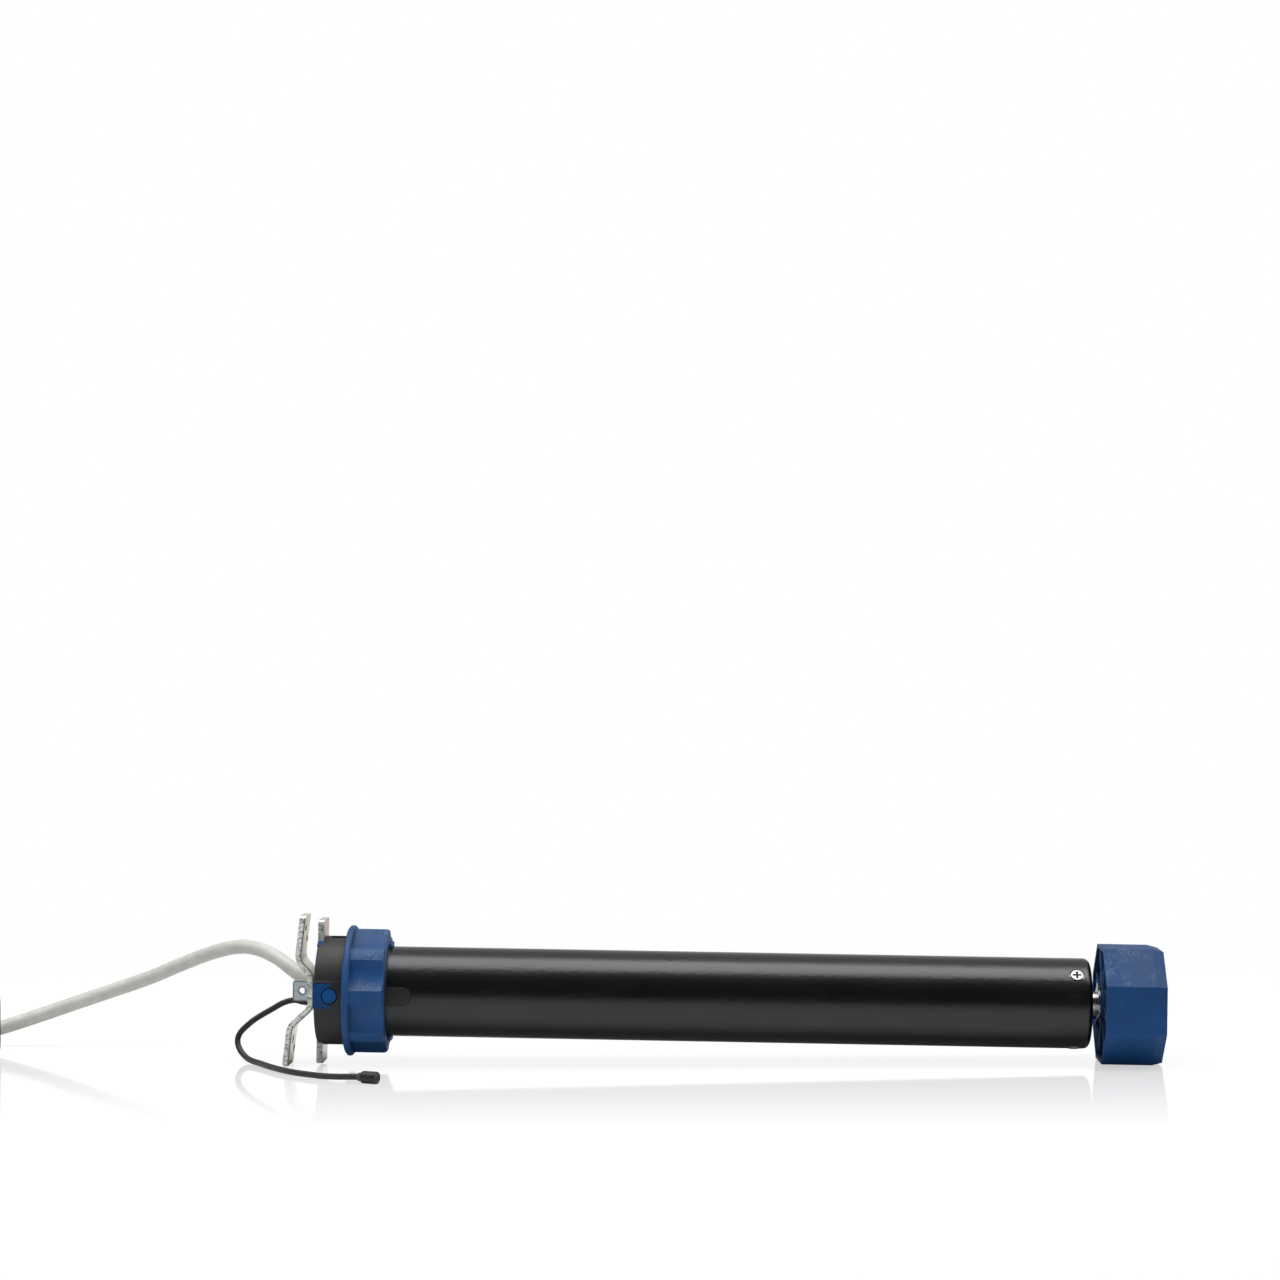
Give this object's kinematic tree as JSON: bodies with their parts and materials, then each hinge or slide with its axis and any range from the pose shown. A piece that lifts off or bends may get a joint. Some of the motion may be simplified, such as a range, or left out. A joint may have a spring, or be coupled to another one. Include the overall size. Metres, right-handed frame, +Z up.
{
  "type": "tubular roller blind motor",
  "caption": "Black tubular motor with blue crown and octagonal drive wheel, wall bracket, grey power cable laid in a coil and a short aerial",
  "frame": {"origin": "on the motor axis, in the face of the head where the bracket bar seats", "axes": "+X along the motor axis from the bracket to the drive wheel, -Y to the side with the setting button, +Z up as it lies"},
  "size_m": [0.687, 0.1445, 0.0807],
  "materials": {
    "black_powder_coat": "satin, fine orange peel",
    "black_plastic": "fine spark-eroded texture",
    "blue_plastic": "semi-gloss moulded",
    "white_plastic": "moulded acetal",
    "zinc_steel": "zinc plated",
    "plain_steel": "ground",
    "sintered_metal": "sintered",
    "cast_alloy": "die cast",
    "bronze": "sintered bronze",
    "copper_wire": "enamelled copper",
    "friction_lining": "pressed fibre",
    "ferrite": "sintered ferrite",
    "board_green": "solder mask",
    "part_blue": "moulded",
    "part_green": "moulded",
    "capacitor_case": "moulded",
    "grey_sheath": "satin cable sheath",
    "black_sheath": "matte cable sheath"
  },
  "bodies": {
    "motor": {"motor_tube": "black_powder_coat", "tube_screws": "zinc_steel", "head_housing": "black_plastic", "button_cover": "black_plastic", "button_spring": "plain_steel", "switch_body": "black_plastic", "switch_board": "board_green", "bar_retainer": "blue_plastic", "bracket_bar": "zinc_steel", "wall_bracket": "zinc_steel", "bracket_spacer": "zinc_steel", "bracket_screw": "zinc_steel", "cable_gland": "black_plastic", "aerial_grommet": "black_plastic", "cable_clamp": "black_plastic", "inner_leads": "grey_sheath", "electronics_tray": "black_plastic", "circuit_board": "board_green", "terminal_block": "part_green", "relays": "part_blue", "radio_module": "plain_steel", "run_capacitor": "capacitor_case", "capacitor_clips": "black_plastic", "sensor_board": "board_green", "rear_shield": "cast_alloy", "front_shield": "cast_alloy", "shaft_bushes": "bronze", "stator_core": "plain_steel", "stator_windings": "copper_wire", "brake_magnet": "plain_steel", "brake_coil": "copper_wire", "brake_spring": "plain_steel", "brake_housing": "cast_alloy", "ring_gear": "white_plastic", "output_flange": "cast_alloy", "power_cable_run": "grey_sheath", "power_cable_coil": "grey_sheath", "coil_ties": "black_plastic", "cable_end": "grey_sheath", "aerial_wire": "black_sheath", "aerial_tip": "black_plastic"},
    "crown": {"crown_ring": "blue_plastic"},
    "button": {"set_button": "blue_plastic", "switch_plunger": "white_plastic"},
    "slide": {"release_slide": "blue_plastic"},
    "armature": {"brake_armature": "plain_steel"},
    "rotor": {"rotor_core": "plain_steel", "rotor_shaft": "plain_steel", "brake_disc": "friction_lining", "sensor_magnet": "ferrite"},
    "first_stage": {"first_carrier": "white_plastic"},
    "drive": {"output_carrier": "plain_steel", "wheel_clip": "zinc_steel", "drive_wheel": "blue_plastic"},
    "first_planet_1": {"first_planet_1": "white_plastic"},
    "first_planet_2": {"first_planet_2": "white_plastic"},
    "first_planet_3": {"first_planet_3": "white_plastic"},
    "output_planet_1": {"output_planet_1": "sintered_metal"},
    "output_planet_2": {"output_planet_2": "sintered_metal"},
    "output_planet_3": {"output_planet_3": "sintered_metal"}
  },
  "joints": [
    {"name": "crown_turn", "type": "hinge", "parent": "motor", "child": "crown", "pos_m": [0.0246, 0, 0], "axis": [1, 0, 0], "continuous": true},
    {"name": "rotor_turn", "type": "hinge", "parent": "motor", "child": "rotor", "pos_m": [0.2731, 0, 0], "axis": [1, 0, 0], "continuous": true},
    {"name": "first_stage_turn", "type": "hinge", "parent": "motor", "child": "first_stage", "pos_m": [0.3406, 0, 0], "axis": [1, 0, 0], "continuous": true},
    {"name": "drive_turn", "type": "hinge", "parent": "motor", "child": "drive", "pos_m": [0.392, 0, 0], "axis": [1, 0, 0], "continuous": true},
    {"name": "first_planet_1_turn", "type": "hinge", "parent": "first_stage", "child": "first_planet_1", "pos_m": [0.3406, -0.0108, 0], "axis": [1, 0, 0], "continuous": true},
    {"name": "first_planet_2_turn", "type": "hinge", "parent": "first_stage", "child": "first_planet_2", "pos_m": [0.3406, 0.0054, 0.00935], "axis": [1, 0, 0], "continuous": true},
    {"name": "first_planet_3_turn", "type": "hinge", "parent": "first_stage", "child": "first_planet_3", "pos_m": [0.3406, 0.0054, -0.00935], "axis": [1, 0, 0], "continuous": true},
    {"name": "output_planet_1_turn", "type": "hinge", "parent": "drive", "child": "output_planet_1", "pos_m": [0.3547, -0.0108, 0], "axis": [1, 0, 0], "continuous": true},
    {"name": "output_planet_2_turn", "type": "hinge", "parent": "drive", "child": "output_planet_2", "pos_m": [0.3547, 0.0054, 0.00935], "axis": [1, 0, 0], "continuous": true},
    {"name": "output_planet_3_turn", "type": "hinge", "parent": "drive", "child": "output_planet_3", "pos_m": [0.3547, 0.0054, -0.00935], "axis": [1, 0, 0], "continuous": true},
    {"name": "button_press", "type": "slide", "parent": "motor", "child": "button", "axis": [0, 1, 0], "range_m": [0, 0.0012], "stiffness_N_per_m": 400, "springref_m": -0.0008, "deforming": ["button_spring"]},
    {"name": "release_press", "type": "slide", "parent": "motor", "child": "slide", "axis": [0, 1, 0], "range_m": [0, 0.0015], "stiffness_N_per_m": 600, "springref_m": -0.0008},
    {"name": "brake_release", "type": "slide", "parent": "motor", "child": "armature", "axis": [1, 0, 0], "range_m": [-0.0004, 0], "stiffness_N_per_m": 4000, "springref_m": 0.001, "deforming": ["brake_spring"]}
  ],
  "couplings": [
    {"joint": "first_stage_turn", "follows": "rotor_turn", "ratio": 0.16667},
    {"joint": "drive_turn", "follows": "rotor_turn", "ratio": 0.027778},
    {"joint": "first_planet_1_turn", "follows": "rotor_turn", "ratio": -0.41667},
    {"joint": "first_planet_2_turn", "follows": "rotor_turn", "ratio": -0.41667},
    {"joint": "first_planet_3_turn", "follows": "rotor_turn", "ratio": -0.41667},
    {"joint": "output_planet_1_turn", "follows": "rotor_turn", "ratio": -0.069444},
    {"joint": "output_planet_2_turn", "follows": "rotor_turn", "ratio": -0.069444},
    {"joint": "output_planet_3_turn", "follows": "rotor_turn", "ratio": -0.069444}
  ]
}
